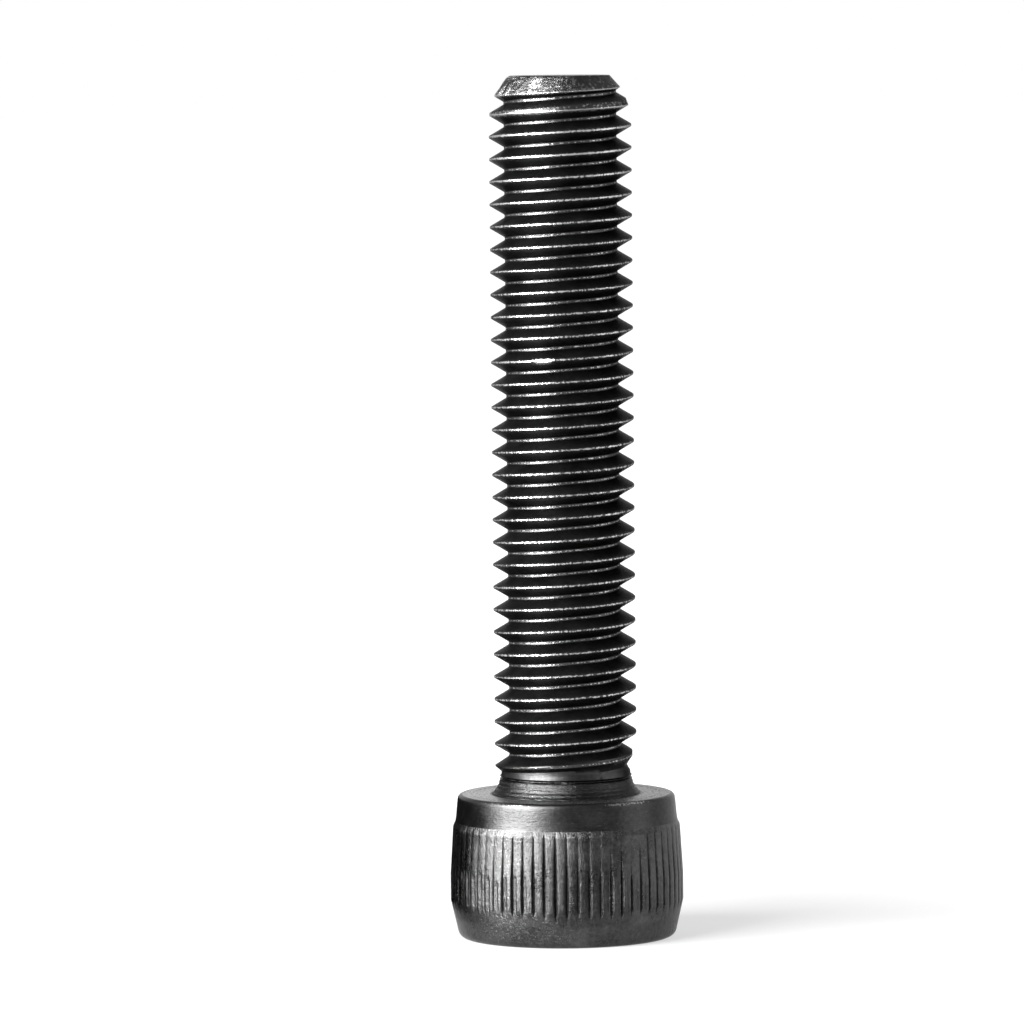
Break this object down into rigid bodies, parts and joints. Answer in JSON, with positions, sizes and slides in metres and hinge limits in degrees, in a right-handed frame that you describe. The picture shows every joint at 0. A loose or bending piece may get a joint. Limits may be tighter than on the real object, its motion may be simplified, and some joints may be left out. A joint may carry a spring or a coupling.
{
  "type": "hex socket cap screw",
  "caption": "Hex socket cap screw: a rolled metric thread over the whole shank, a flared neck and a knurled cylinder head with a hexagonal socket.",
  "frame": {"origin": "centre of the flat socket face, on the plane that the screw stands on", "axes": "+Z along the screw's axis from the socket face to the threaded end; +X and +Y level, with two corners of the hexagonal socket on the X axis"},
  "size_m": [0.013, 0.013, 0.048],
  "materials": {
    "black_oxide_steel": "hot black oxide over rolled and forged alloy steel, with bare bright metal on worn crests and edges"
  },
  "bodies": {
    "root": {"cap_screw": "black_oxide_steel"}
  },
  "joints": []
}
